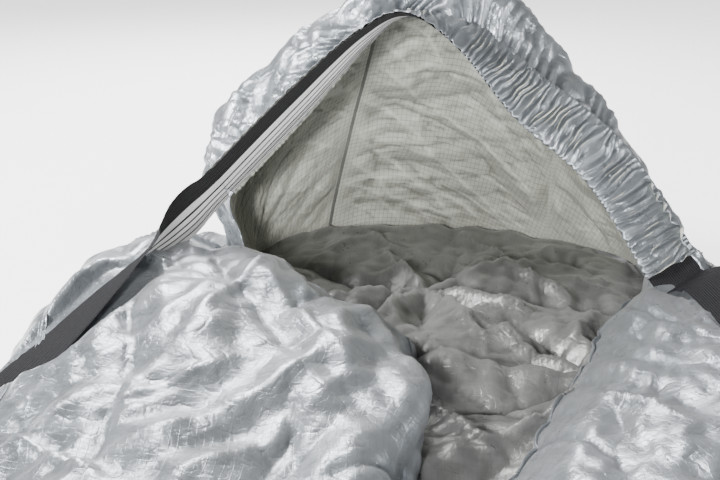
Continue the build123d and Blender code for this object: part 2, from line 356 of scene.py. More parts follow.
def relax(base, points, excess, steps, hold, label, lowest):
    """Moves a grid of cloth until its threads are longer than the base by excess, so that it wrinkles."""
    threads = []
    for way, (across, along) in thread_steps:
        first, second = pair(base, *way)
        extra_first, extra_second = pair(across * excess[0] + along * excess[1], *way)
        side_first, side_second = pair(label, *way)
        rest = np.linalg.norm(second - first, axis=2) * (1 + (extra_first + extra_second) / 2)
        joined = (side_first * side_second != 2).astype(float)
        threads.append((way, rest, joined))
    upright = normals_of(base)
    reach, settle = 3, 0.10  # the cloth's mean height over this many points to each side stays low
    slide = 0.55  # the cloth keeps to its place along the surface, so that its slack rises off it
    push = 1.7  # each step moves the points this many times as far as their threads ask
    count = np.full(base.shape[:2], 1e-6)
    for way, rest, joined in threads:
        first, second = pair(count, *way)
        first += joined
        second += joined
    for _ in range(steps):
        move = np.zeros_like(points)
        for way, rest, joined in threads:
            first, second = pair(points, *way)
            gap = second - first
            length = np.maximum(np.linalg.norm(gap, axis=2), 1e-9)
            gap *= (0.5 * joined * (1 - rest / length))[..., None]
            first, second = pair(move, *way)
            first += gap
            second -= gap
        points = points + push * move / count[..., None]
        middle = points - stiffness * bending(bending(points - base))
        offset = middle - base
        height = (offset * upright).sum(2)
        sunk = height * (1 - hold) - settle * blurred(height, reach)
        points = base + sunk[..., None] * upright + (offset - height[..., None] * upright) * slide
        points[..., 2] = np.maximum(points[..., 2], lowest)
    return points


def crumple(base, excess, hold, seed, label=None, lowest=top_lowest):
    """Wrinkles a sheet of cloth from large folds to small ones. base has 8 k + 1 points each way.

    excess is how much longer the cloth is than the base, across and along the grid. The threads don't
    join points with labels 1 and 2."""
    random = np.random.default_rng(seed)
    if label is None:
        label = np.zeros(base.shape[:2])
    offset = None
    for level, count, share in levels:
        step = 2 ** level
        rest = base[::step, ::step]
        offset = np.zeros_like(rest) if offset is None else doubled(doubled(offset, 0), 1)
        spacing = np.linalg.norm(np.diff(rest, axis=0), axis=2).mean()
        bumps = smooth_noise(random, rest.shape[:2], 2.6)
        offset = offset + normals_of(rest) * (bumps * spacing * 0.4)[..., None]
        points = relax(rest, rest + offset, [share * part[::step, ::step] for part in excess], count,
                       hold[::step, ::step], label[::step, ::step], lowest)
        offset = points - rest
    return base + offset


def creases(places, folds):
    """The height of sharp folds at places in a plane. A fold is its two ends, its width and its height."""
    height = np.zeros(places.shape[:2])
    for start, end, width, rise in folds:
        start, end = np.asarray(start, float), np.asarray(end, float)
        way = end - start
        length = np.linalg.norm(way)
        way = way / length
        gap = places - start
        along = gap @ way
        side = gap @ np.array([-way[1], way[0]])
        part = np.clip(along / length, 0, 1)
        past = np.abs(along - part * length)
        taper = np.clip(4 * part * (1 - part), 0, 1) ** 0.6
        profile = np.exp(-np.abs(side) / width - (side / (3 * width)) ** 2)
        height += rise * taper * profile * np.exp(-(past / width) ** 2)
    return height


def random_folds(random, count, low, high, length, width, rise, angle=0.0, spread=math.pi):
    """Folds of random place inside a box, within spread of angle. length, width and rise are ranges."""
    folds = []
    for _ in range(count):
        middle = random.uniform(low, high)
        turn = random.uniform(-spread, spread) + angle
        half = random.uniform(*length) / 2 * np.array([math.cos(turn), math.sin(turn)])
        sign = random.choice((-1, 1))
        folds.append((middle - half, middle + half, random.uniform(*width), sign * random.uniform(*rise)))
    return folds


def facets(random, places, spacing, stretch=1.0, angle=0.0):
    """The height of flat facets between sharp ridges, in metres, for places in a plane.

    It is the distance to the nearest of many scattered points, less its mean. stretch makes the facets
    longer along angle."""
    turn = np.array([[math.cos(angle), -math.sin(angle)], [math.sin(angle), math.cos(angle)]])
    wander = [smooth_noise(random, places.shape[:2], 26) for _ in range(2)]
    at = (places + 0.45 * spacing * np.stack(wander, axis=-1)) @ turn / np.array([stretch, 1.0])
    low, high = at.reshape(-1, 2).min(0) - spacing, at.reshape(-1, 2).max(0) + spacing
    seeds = random.uniform(low, high, (int(np.prod((high - low) / spacing)) + 1, 2))
    nearest = np.full(places.shape[:2], 1e9)
    for seed in seeds:
        nearest = np.minimum(nearest, ((at - seed) ** 2).sum(-1))
    nearest = np.sqrt(nearest + (0.12 * spacing) ** 2)
    return nearest - nearest.mean()


def faceted(random, places, layers):
    """Layers of facets, added up. A layer is its weight, then its facets' spacing, stretch and angle."""
    return sum(weight * facets(random, places, *layer) for weight, *layer in layers)


def fan(centre, angles, length, width, rise):
    """Folds that run out from one point, at angles in degrees. A negative rise is a furrow."""
    centre = np.asarray(centre, float)
    folds = []
    for index, angle in enumerate(angles):
        way = np.array([math.cos(math.radians(angle)), math.sin(math.radians(angle))])
        reach = length * (0.75 + 0.5 * ((index * 37) % 10) / 10)
        folds.append((centre - 0.15 * reach * way, centre + reach * way, width, rise * (-1) ** index))
    return folds


def add_mesh(name, points, faces, materials, uv=None, face_material=None):
    """A mesh object from points and faces, with UVs in metres per point."""
    mesh = bpy.data.meshes.new(name)
    mesh.from_pydata([tuple(p) for p in points], [], [tuple(f) for f in faces])
    for material in materials:
        mesh.materials.append(material)
    if uv is not None:
        layer = mesh.uv_layers.new(name="metres")
        order = np.empty(len(mesh.loops), int)
        mesh.loops.foreach_get("vertex_index", order)
        layer.data.foreach_set("uv", np.asarray(uv, float)[order].ravel())
    if face_material is not None:
        mesh.polygons.foreach_set("material_index", np.asarray(face_material, int))
    mesh.polygons.foreach_set("use_smooth", np.ones(len(mesh.polygons), bool))
    mesh.update()
    piece = bpy.data.objects.new(name, mesh)
    scene.collection.objects.link(piece)
    return piece


def grid_faces(rows, columns, keep=None, closed=False):
    """The faces of a grid, as an array. keep is a mask over its cells."""
    count = np.arange(rows * columns).reshape(rows, columns)
    if closed:
        count = np.concatenate([count, count[:1]])
    faces = np.stack([count[:-1, :-1], count[1:, :-1], count[1:, 1:], count[:-1, 1:]], axis=-1)
    return faces[keep] if keep is not None else faces.reshape(-1, 4)


def fold_of(grid, sharpest):
    """How sharply each point of a grid is folded, from -1 on a ridge to 1 in a furrow."""
    return np.clip((bending(grid) * normals_of(grid)).sum(2) / sharpest, -1, 1)


cloth_thickness, channel_thickness = 0.0006, 0.0005


def cloth_piece(name, grid, uv, keep, materials, thick=cloth_thickness, sharpest=0.0005):
    """Part of a grid as a thin sheet, with its inner side in the second material."""
    faces = grid_faces(*grid.shape[:2], keep=keep)
    used = np.unique(faces)
    place = np.zeros(grid.shape[0] * grid.shape[1], int)
    place[used] = np.arange(len(used))
    piece = add_mesh(name, grid.reshape(-1, 3)[used], place[faces], materials, uv.reshape(-1, 2)[used])
    # The fold attribute feeds the ripstop materials' painted shade in furrows and painted highlight on
    # ridges.
    fold = piece.data.attributes.new("fold", "FLOAT", "POINT")
    fold.data.foreach_set("value", np.asarray(fold_of(grid, sharpest).ravel()[used], np.float32))
    solid = piece.modifiers.new("thickness", "SOLIDIFY")
    solid.thickness = thick
    solid.offset = -1
    solid.use_even_offset = False
    if len(materials) > 1:
        solid.material_offset = 1
    return piece


def metres_over(grid, row, column):
    """A UV in metres for each point of a grid, counted along it from one row and one column."""
    u, v = lengths(grid), lengths(grid, 1)
    return np.stack([u - u[row:row + 1], v - v[:, column:column + 1]], axis=-1)


def stand_for(piece, node, body="sack"):
    """The piece replaces a node, which it hides. It rides on a body when one is given."""
    if body:
        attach(piece, body)
    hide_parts(node)


def ribbon(name, centres, across, normals, width, thick, materials, columns=24, rib=0.00012, ribs=11,
           edge_wave=0.0):
    """A flat closed strap along centres. Its outer face has the first material, its inner one the last."""
    centres, across, normals = (np.asarray(x, float) for x in (centres, across, normals))
    share = np.linspace(-0.5, 0.5, columns)
    length = lengths(centres)
    rounding = np.sqrt(np.clip(1 - (2 * np.abs(share)) ** 12, 0, 1))
    relief = rib * np.cos(2 * math.pi * ribs * share)
    outer = (thick / 2 + relief) * rounding
    flat = centres[None] + share[:, None, None] * width * across[None]
    if edge_wave:
        ripple = edge_wave * np.sin(length * 2 * math.pi / 0.011) * np.sin(length * 2 * math.pi / 0.047)
        flat = flat + (share[:, None] ** 3 * 8 * ripple[None])[..., None] * normals[None]
    top = flat + outer[:, None, None] * normals[None]
    low = flat - outer[:, None, None] * normals[None]
    ring = np.concatenate([top, low[::-1]])
    rows, steps = ring.shape[:2]
    v = np.broadcast_to(length, (rows, steps))
    u = np.concatenate([share, share[::-1]])[:, None] * width + width / 2
    uv = np.stack([np.broadcast_to(u, v.shape), v], axis=-1)
    faces = grid_faces(rows, steps, closed=True)
    kinds = np.repeat((np.arange(rows) >= columns - 1).astype(int), steps - 1) * (len(materials) - 1)
    kinds[-(steps - 1):] = 0
    numbers = np.arange(rows * steps).reshape(rows, steps)
    caps = []
    for end in (0, -1):
        column = numbers[:, end]
        for index in range(columns - 1):
            cell = (column[index], column[index + 1], column[rows - 2 - index], column[rows - 1 - index])
            caps.append(cell if end == 0 else cell[::-1])
    every = np.concatenate([faces[:, ::-1], np.array(caps)])
    kinds = np.concatenate([kinds, np.zeros(len(caps), int)])
    return add_mesh(name, ring.reshape(-1, 3), every, materials, uv.reshape(-1, 2), kinds)


def frame_along(centres, width_way):
    """The directions across a line and off it, near the asked width direction."""
    centres = np.asarray(centres, float)
    tangent = unit(np.gradient(centres, axis=0))
    width_way = np.broadcast_to(np.asarray(width_way, float), centres.shape)
    across = unit(width_way - (width_way * tangent).sum(1, keepdims=True) * tangent)
    return across, unit(np.cross(tangent, across))


# -------- the hood's front edge and its strap
# Left to right along the front edge of the strap, where it is part of the hood
edge_points = np.array([
    (-0.197, 0.775, 0.175), (-0.120, 0.787, 0.250), (-0.045, 0.795, 0.314), (0.005, 0.800, 0.333),
    (0.058, 0.800, 0.298), (0.115, 0.790, 0.232), (0.190, 0.767, 0.168), (0.246, 0.720, 0.083),
])
edge_tilt = np.radians([-47, -43, -28, -14, 30, 60, 72, 75])
strap_width, arch_thickness, leg_thickness = 0.050, 0.0013, 0.0012


def edge_frame(places):
    """Points along the hood's front edge, with the strap's width direction and its outward normal."""
    line = spline(edge_points, places)
    tangent = unit(np.gradient(line, axis=0))
    back = unit(np.array([0, 1, 0]) - tangent[:, 1:2] * tangent)
    out = np.cross(tangent, back)
    tilt = spline(edge_tilt[:, None], places)
    width_way = np.cos(tilt) * back + np.sin(tilt) * out
    return line, width_way, np.cross(tangent, width_way), tangent


band_line, band_way, _, _ = edge_frame(np.linspace(0, 7, 281))
band_back = (band_line + strap_width * band_way)[::40]

# -------- hood cloth
# Curves across the hood from its left foot to its right foot: front edge, crown, back and bottom
front_curve = np.concatenate([
    [(-0.165, 0.825, 0.030), (-0.168, 0.820, 0.090)], band_back, [(0.290, 0.830, 0.040)]])
crown_curve = np.array([
    (-0.172, 0.845, 0.030), (-0.190, 0.850, 0.120), (-0.214, 0.870, 0.165), (-0.188, 0.872, 0.225),
    (-0.100, 0.860, 0.300), (0.010, 0.860, 0.368), (0.100, 0.865, 0.342), (0.175, 0.872, 0.278),
    (0.235, 0.880, 0.210), (0.285, 0.872, 0.125), (0.292, 0.860, 0.040)])
back_curve = np.array([
    (-0.168, 0.890, 0.025), (-0.185, 0.900, 0.085), (-0.188, 0.925, 0.135), (-0.155, 0.940, 0.195),
    (-0.080, 0.945, 0.245), (0.020, 0.950, 0.285), (0.100, 0.955, 0.262), (0.175, 0.955, 0.215),
    (0.235, 0.950, 0.160), (0.280, 0.930, 0.100), (0.290, 0.900, 0.035)])
bottom_curve = np.array([
    (-0.165, 0.930, 0.016), (-0.165, 0.950, 0.018), (-0.150, 0.970, 0.016), (-0.120, 0.990, 0.018),
    (-0.060, 1.010, 0.026), (0.030, 1.025, 0.020), (0.110, 1.025, 0.030), (0.180, 1.015, 0.022),
    (0.240, 0.995, 0.018), (0.280, 0.965, 0.016), (0.295, 0.930, 0.016)])
hood_curves = np.stack([front_curve, crown_curve, back_curve, bottom_curve])

left_seam_front, left_seam_bottom = 5.1, 3.75
right_seam_front, right_seam_bottom = 7.3, 7.3
hood_columns, hood_rows = 305, 145
left_seam_column, right_seam_column = 144, 216


def hood_places(left, right):
    """A place across the hood for each of its columns, with the seams at left and right."""
    return np.interp(np.arange(hood_columns), [0, left_seam_column, right_seam_column, hood_columns - 1],
                     [0, left, right, len(front_curve) - 1])


def hood_base():
    """The hood's smooth shape as a grid, with both seams on a column of it."""
    fall, _ = even_places(hood_curves[:, 5], hood_rows)
    across_rows = spline(hood_curves, fall)
    rows = []
    for row, share in enumerate(np.linspace(0, 1, hood_rows)):
        left = left_seam_front + (left_seam_bottom - left_seam_front) * share
        right = right_seam_front + (right_seam_bottom - right_seam_front) * share
        rows.append(spline(across_rows[row], hood_places(left, right)))
    return np.stack(rows, axis=1)


hood_smooth = hood_base()
hood_front_places = hood_places(left_seam_front, right_seam_front)
hood_uv = metres_over(hood_smooth, left_seam_column, hood_rows // 2)
# Above the soft top the hood's cloth is pressed down, so that it rises at most the head room further
hood_soft_top, hood_head_room = 0.350, 0.022


def hood_cloth():
    """The hood's cloth, with its wrinkles, facets and folds, and the ruffles along its gathered edge."""
    random = np.random.default_rng(11)
    grid = hood_smooth
    depth = lengths(grid, 1)
    run = lengths(grid[:, :1])
    column = np.arange(hood_columns)[:, None]
    seam_gap = np.minimum(np.abs(column - left_seam_column), np.abs(column - right_seam_column))
    near_seam = np.exp(-(seam_gap / 5.0) ** 2) * np.ones_like(depth)
    in_left = 1 / (1 + np.exp((column - left_seam_column) / 6.0)) * np.ones_like(depth)
    patchy = [0.35 + 0.9 * np.clip(smooth_noise(random, depth.shape, 34) + 0.35, 0, 1) for _ in range(2)]
    excess = [(0.02 + 0.04 * in_left) * patchy[0] + 0.04 * np.exp(-depth / 0.05),
              (0.06 - 0.03 * in_left) * patchy[1]]
    hold = 0.002 + 0.05 * near_seam + 0.5 * np.exp(-depth / 0.004)
    hold[:, -3:] = 0.05
    wrinkled = crumple(grid, excess, hold, 21)
    # The gathered front edge throws soft ruffles that fade out down the cloth
    phase = run / 0.0165 + 0.9 * smooth_noise(random, depth.shape, 9) + depth * 8
    ruffle = np.sin(2 * math.pi * phase) + 0.5 * np.sin(2 * math.pi * (phase * 0.53 + 0.3))
    gathered = np.clip(hood_front_places - 1.7, 0, 1) * np.clip(9.3 - hood_front_places, 0, 1)
    size = 0.0046 * gathered[:, None] * (1 + 0.6 * smooth_noise(random, depth.shape, 14))
    size = size * np.exp(-depth / 0.034)
    rise = ruffle * size
    places = hood_uv
    low, high = places.reshape(-1, 2).min(0), places.reshape(-1, 2).max(0)
    length, width, height = (0.06, 0.17), (0.003, 0.006), (0.002, 0.005)
    folds = random_folds(random, 40, (-0.02, low[1]), high, length, width, height, 0.0, 0.45)
    folds += random_folds(random, 24, low, (0.0, high[1]), length, width, height, 1.45, 0.4)
    flat_part = faceted(random, places, ((0.40, 0.052, 2.8, 0.10), (-0.50, 0.030, 3.0, 0.5),
                                         (0.34, 0.017, 2.6, -0.3)))
    inside = np.clip(depth / 0.05, 0, 1) * np.clip((depth[:, -1:] - depth) / 0.05, 0, 1)
    rise += (creases(places, folds) + flat_part) * inside * (1 - 0.9 * near_seam)
    # The cloth turns sharply along the left seam
    rise += 0.011 * np.exp(-np.abs(column - left_seam_column) / 13.0) * np.clip(depth / 0.04, 0, 1)
    result = wrinkled + normals_of(grid) * rise[..., None]
    over = np.maximum(result[..., 2] - hood_soft_top, 0)
    result[..., 2] -= over - hood_head_room * (1 - np.exp(-over / hood_head_room))
    return result


hood_grid = hood_cloth()


def follow_hood(piece):
    """Bakes the piece's transform into its mesh."""
    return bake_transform(piece)


column = np.arange(hood_columns - 1)[:, None] * np.ones(hood_rows - 1, int)[None]
hood_parts = {
    "left": column < left_seam_column,
    "back": (column >= left_seam_column) & (column < right_seam_column),
    "right": column >= right_seam_column,
}
for word, keep in hood_parts.items():
    piece = cloth_piece(f"hood_{word}_cloth", hood_grid, hood_uv, keep, [SILVER, COATED], sharpest=0.00042)
    follow_hood(piece)
    stand_for(piece, f"hood_{word}_panel", None)


def narrow_band(name, centres, across, normals, width, thick, materials=(SILVER,), rib=0.0002):
    """A felled seam or a hem: a narrow band of folded cloth with a ridge near each edge."""
    return ribbon(name, centres, across, normals, width, thick, materials, columns=13, rib=rib, ribs=2)


# The width and thickness of the hood's seams, the sack's seams and the hems
hood_seam, sack_seam, seam_rib = (0.0050, 0.0018), (0.008, 0.0018), 0.00018
mouth_hem, hood_hem = (0.009, 0.0024), (0.012, 0.0022)
hood_normals = normals_of(hood_grid)
# The left seam's inner face has the painted-shade copy of the coated cloth. The right seam's inner face has
# the plain coated cloth.
for side, column, inner_face in (("left", left_seam_column, SEAM_SHADE), ("right", right_seam_column, COATED)):
    across = unit(hood_grid[column + 1] - hood_grid[column - 1])
    centres = hood_grid[column] - hood_normals[column] * 0.0007
    piece = narrow_band(f"hood_{side}_seam_cloth", centres, across, hood_normals[column], *hood_seam,
                        [SILVER, inner_face], seam_rib)
    follow_hood(piece)
    stand_for(piece, f"hood_{side}_seam", None)


# -------- gathered channel over the strap
def gathered_channel():
    """The ruched tube of cloth sewn over the strap's outer face."""
    random = np.random.default_rng(5)
    columns, rows = 641, 37
    places, length = even_places(edge_points, columns)
    line, width_way, out, tangent = edge_frame(places)
    run = np.linspace(0, length, columns)[:, None]
    share = np.linspace(0, 1, rows)[None, :]
    depth = share * (strap_width + 0.007) - 0.001
    wander = smooth_noise(random, (columns, rows), 16)
    phase = run / 0.0066 + 0.8 * wander + 0.25 * smooth_noise(random, (columns, rows), 7)
    wide = run / 0.0128 + 0.7 * smooth_noise(random, (columns, rows), 22)
    size = 0.0013 * (1 + 0.55 * smooth_noise(random, (columns, rows), 13))
    puff = np.sin(math.pi * np.clip(share * 1.02, 0, 1)) ** 0.55
    pucker = size * np.sin(2 * math.pi * phase) + 0.0011 * np.sin(2 * math.pi * wide)
    pucker = pucker * (0.35 + 0.65 * puff)
    lift = 0.0015 + 0.0038 * puff + pucker
    scallop = 0.0011 * np.sin(2 * math.pi * phase) * np.exp(-share / 0.12)
    slide = 0.0012 * np.cos(2 * math.pi * phase) * puff
    grid = (line[:, None] + (depth + scallop)[..., None] * width_way[:, None]
            + lift[..., None] * out[:, None] + slide[..., None] * tangent[:, None])
    uv = np.stack([run * 1.7 + 0 * share, depth + 0 * run], axis=-1)
    keep = np.ones((columns - 1, rows - 1), bool)
    return cloth_piece("hood_gather_cloth", grid, uv, keep, [SILVER, COATED], channel_thickness)


stand_for(gathered_channel(), "hood_gather", "hood_edge")


def arch_strap():
    """The strap's own stretch inside the hood's edge."""
    places, _ = even_places(edge_points, 260)
    line, width_way, out, _ = edge_frame(places)
    return ribbon("strap_arch_elastic", line + width_way * strap_width / 2, width_way, out, strap_width,
                  arch_thickness, [CHARCOAL, STRIPED], columns=45, edge_wave=0.0003)


stand_for(arch_strap(), "strap_arch", "hood_edge")

# -------- sack cloth
half_length = 1.045
# The half width at places along the sack, on its left and its right
width_y = [-1.045, -0.90, -0.30, 0.20, 0.64, 0.80, 0.90, 0.95, 1.045]
left_width = [0.235, 0.262, 0.312, 0.352, 0.375, 0.336, 0.298, 0.275, 0.235]
right_width = [0.235, 0.262, 0.312, 0.352, 0.375, 0.358, 0.340, 0.331, 0.312]
# The height of the side walls at places along the sack, as a share of their full height
wall_y = [-1.045, -0.3, 0.64, 0.74, 0.8, 0.9, 1.045]
wall_share = [0.7, 0.9, 1.0, 0.97, 0.85, 0.5, 0.2]


def half_width(y, side):
    return np.interp(y, width_y, left_width if side < 0 else right_width)


def corner_cut(foot_gap, head_gap):
    """How much narrower each half of the sack is at its rounded corners."""
    return 0.06 * np.clip(1 - foot_gap / 0.10, 0, 1) ** 2 + 0.02 * np.clip(1 - head_gap / 0.05, 0, 1) ** 2


# Sections of the two halves of the top cloth: crest, ridge, lip and edge, each as x and height. The first
# three, at the foot, are the same on both sides
section_y = np.array([-1.045, -0.90, -0.30, 0.05, 0.24, 0.34, 0.44, 0.52, 0.62, 0.73, 0.80, 0.90, 1.045])
foot_sections = [
    [(0.12, 0.060), (0.06, 0.064), (0.03, 0.064), (0.0015, 0.063)],
    [(0.15, 0.084), (0.08, 0.092), (0.04, 0.092), (0.0015, 0.091)],
    [(0.18, 0.098), (0.10, 0.106), (0.05, 0.105), (0.0015, 0.103)],
]
left_sections = np.array([[(-x, z) for x, z in section] for section in foot_sections] + [
    [(-0.20, 0.108), (-0.10, 0.112), (-0.04, 0.106), (0.010, 0.100)],
    [(-0.21, 0.112), (-0.09, 0.112), (-0.02, 0.094), (0.026, 0.074)],
    [(-0.21, 0.115), (-0.055, 0.104), (-0.014, 0.068), (0.028, 0.044)],
    [(-0.22, 0.118), (-0.030, 0.100), (-0.004, 0.060), (-0.004, 0.032)],
    [(-0.23, 0.120), (-0.014, 0.100), (0.006, 0.066), (-0.016, 0.036)],
    [(-0.25, 0.122), (-0.062, 0.102), (-0.018, 0.068), (0.010, 0.042)],
    [(-0.235, 0.122), (-0.145, 0.106), (-0.100, 0.074), (-0.055, 0.050)],
    [(-0.245, 0.094), (-0.190, 0.088), (-0.165, 0.066), (-0.140, 0.044)],
    [(-0.240, 0.056), (-0.208, 0.054), (-0.196, 0.042), (-0.192, 0.026)],
    [(-0.214, 0.020), (-0.205, 0.020), (-0.196, 0.018), (-0.190, 0.014)],
])
right_sections = np.array(foot_sections + [
    [(0.21, 0.108), (0.12, 0.112), (0.06, 0.106), (0.013, 0.100)],
    [(0.22, 0.112), (0.12, 0.110), (0.07, 0.094), (0.029, 0.074)],
    [(0.23, 0.114), (0.112, 0.102), (0.070, 0.070), (0.031, 0.044)],
    [(0.25, 0.116), (0.145, 0.100), (0.104, 0.064), (0.082, 0.036)],
    [(0.262, 0.104), (0.184, 0.097), (0.148, 0.070), (0.120, 0.040)],
    [(0.285, 0.094), (0.226, 0.090), (0.196, 0.074), (0.172, 0.044)],
    [(0.315, 0.086), (0.270, 0.082), (0.248, 0.068), (0.232, 0.046)],
    [(0.306, 0.094), (0.290, 0.088), (0.278, 0.066), (0.266, 0.044)],
    [(0.308, 0.056), (0.302, 0.054), (0.298, 0.042), (0.294, 0.026)],
    [(0.300, 0.020), (0.298, 0.020), (0.295, 0.018), (0.292, 0.014)],
])
slit_tip = 0.335
sack_columns, sack_rows = 257, 281
middle_column = sack_columns // 2  # the last column of the left half


def sack_base():
    """The top cloth's smooth shape as a grid, with a slit down the middle from the mouth's tip."""
    knots_row = [0, 40, 104, 140, 258, 280]
    knots_y = [-1.045, -0.93, -0.05, 0.33, 0.88, 1.045]
    rows_y = np.interp(np.arange(sack_rows), knots_row, knots_y)
    grid = np.empty((sack_columns, sack_rows, 3))
    for row, y in enumerate(rows_y):
        place = np.interp(y, section_y, np.arange(len(section_y)))
        foot_gap, head_gap = y + half_length, half_length - y
        drop = min(1.0, math.sqrt(max(foot_gap, 0) / 0.055),
                   0.25 + 0.75 * math.sqrt(max(head_gap, 0) / 0.05))
        tub = np.interp(y, wall_y, wall_share)
        halves = []
        for side, sections in ((-1, left_sections), (1, right_sections)):
            inner = spline(sections, np.array([place]))[0].copy()
            wide = half_width(y, side) - corner_cut(foot_gap, head_gap)
            outer = np.array([(0.0, 0.003), (0.001, 0.026 * tub), (0.016 * tub, 0.058 * tub),
                              (0.052 * tub, 0.094 * tub)])
            outer[:, 0] = side * (wide - outer[:, 0])
            inner[:, 1] *= drop
            outer[1:, 1] *= drop
            if foot_gap < 0.12:
                inner[:, 0] *= 1 - 0.1 * (1 - foot_gap / 0.12)
            section = np.concatenate([outer, inner])
            count = middle_column + 1 if side < 0 else sack_columns - middle_column - 1
            at, _ = even_places(section, count)
            line = spline(section, at)
            halves.append(line if side < 0 else line[::-1])
        line = np.concatenate(halves)
        grid[:, row, 0] = line[:, 0]
        grid[:, row, 1] = y
        grid[:, row, 2] = np.maximum(line[:, 1], top_lowest)
    return grid, rows_y


sack_smooth, sack_rows_y = sack_base()
sack_uv = metres_over(sack_smooth, middle_column, sack_rows // 2)
sack_label = np.zeros((sack_columns, sack_rows))
sack_label[:middle_column + 1, sack_rows_y > slit_tip] = 1
sack_label[middle_column + 1:, sack_rows_y > slit_tip] = 2


# Where each leg of the strap runs over the mounds: its top, its middle and its sewn end
leg_routes = {
    "left": ((-0.2015, 0.767, 0.1715), (-0.252, 0.645, 0.122), (-0.3284, 0.530, 0.0695)),
    "right": ((0.2578, 0.766, 0.121), (0.292, 0.655, 0.100), (0.3284, 0.530, 0.0695)),
}


def pressed(grid, route):
    """The most height the cloth may have under a leg of the strap."""
    limit = np.full(grid.shape[:2], 1.0)
    for start, end in zip(route[:-1], route[1:]):
        way = end - start
        part = np.clip(((grid - start)[..., :2] @ way[:2]) / (way[:2] @ way[:2]), 0, 1)
        spot = start + part[..., None] * way
        gap = np.linalg.norm((grid - spot)[..., :2], axis=2)
        limit = np.minimum(limit, spot[..., 2] - 0.006 + 1.2 * np.maximum(gap - 0.028, 0))
    return limit


def sack_cloth():
    """The top cloth with its wrinkles, folds and facets, pressed down under the strap's legs."""
    random = np.random.default_rng(3)
    grid = sack_smooth
    column = np.arange(sack_columns)[:, None] * np.ones(sack_rows)[None]
    side_gap = np.minimum(column, sack_columns - 1 - column)
    row = np.arange(sack_rows)
    end_gap = np.minimum(row, sack_rows - 1 - row)[None] * np.ones_like(column)
    near_edge = np.exp(-side_gap / 3.0) + np.exp(-end_gap / 2.5)
    hold = 0.002 + 0.5 * np.clip(near_edge, 0, 1)
    patchy = [np.clip(smooth_noise(random, column.shape, 30) + 0.45, 0.05, 1.2) for _ in range(2)]
    excess = [0.030 * patchy[0], 0.02 * patchy[1]]
    wrinkled = crumple(grid, excess, hold, 31, sack_label)
    places = grid[..., :2]
    folds = random_folds(random, 30, (-0.34, 0.34), (0.0, 0.85), (0.09, 0.22), (0.004, 0.008),
                         (0.003, 0.007), 1.2, 0.55)
    folds += random_folds(random, 24, (0.05, 0.34), (0.36, 0.85), (0.08, 0.20), (0.004, 0.008),
                          (0.0025, 0.006), 1.9, 0.5)
    folds += random_folds(random, 70, (-0.34, -1.0), (0.34, 0.34), (0.09, 0.26), (0.005, 0.010),
                          (0.003, 0.008))
    # Longer folds that show on the left mound
    folds += [((-0.245, 0.66), (-0.225, 0.52), 0.010, -0.007), ((-0.255, 0.60), (-0.30, 0.45), 0.009, 0.005),
              ((-0.19, 0.72), (-0.08, 0.48), 0.010, -0.005), ((-0.13, 0.66), (-0.04, 0.47), 0.007, 0.004)]
    flat_part = faceted(random, places, ((0.24, 0.075, 3.0, 1.2), (-0.27, 0.042, 3.2, 1.9),
                                         (0.20, 0.024, 3.0, 1.0)))
    rise = creases(places, folds) + flat_part
    rise *= np.clip(side_gap / 8, 0, 1) * np.clip(end_gap / 8, 0, 1)
    # The cloth lies flatter under the patches that hold the strap's ends
    for route in leg_routes.values():
        start, end = np.array(route[-2])[:2], np.array(route[-1])[:2]
        gap = np.linalg.norm(places - end - 0.028 * unit(end - start), axis=2)
        flatter = 0.9 * np.exp(-(gap / 0.065) ** 4)
        rise *= 1 - flatter
        wrinkled += (grid - wrinkled) * flatter[..., None]
    result = wrinkled + normals_of(grid) * rise[..., None]
    for route in leg_routes.values():
        result[..., 2] = np.minimum(result[..., 2], pressed(result, np.array(route)))
    result[..., 2] = np.maximum(result[..., 2], folded_lowest)
    return result


sack_grid = sack_cloth()
foot_seam_y = -0.955
tub_seam_column = 30
column = np.arange(sack_columns - 1)[:, None] * np.ones(sack_rows - 1, int)[None]
row_middle = (sack_rows_y[1:] + sack_rows_y[:-1])[None] / 2 * np.ones((sack_columns - 1, 1))
foot_row = int(np.searchsorted(sack_rows_y, foot_seam_y))
is_slit = (column == middle_column) & (row_middle > slit_tip)
is_foot = np.arange(sack_rows - 1) + 0 * column < foot_row
right_seam_of_sack = sack_columns - 1 - tub_seam_column
is_left = (column < tub_seam_column) & ~is_foot
is_right = (column >= right_seam_of_sack) & ~is_foot
sack_parts = (
    ("foot_cloth", "foot_panel", is_foot & ~is_slit),
    ("left_tub_cloth", "left_tub_wall", is_left),
    ("right_tub_cloth", "right_tub_wall", is_right),
    ("top_cloth", "top_panel", ~is_foot & ~is_left & ~is_right & ~is_slit),
)
for name, node, keep in sack_parts:
    stand_for(cloth_piece(name, sack_grid, sack_uv, keep, [SILVER, SHADED_SILVER]), node)


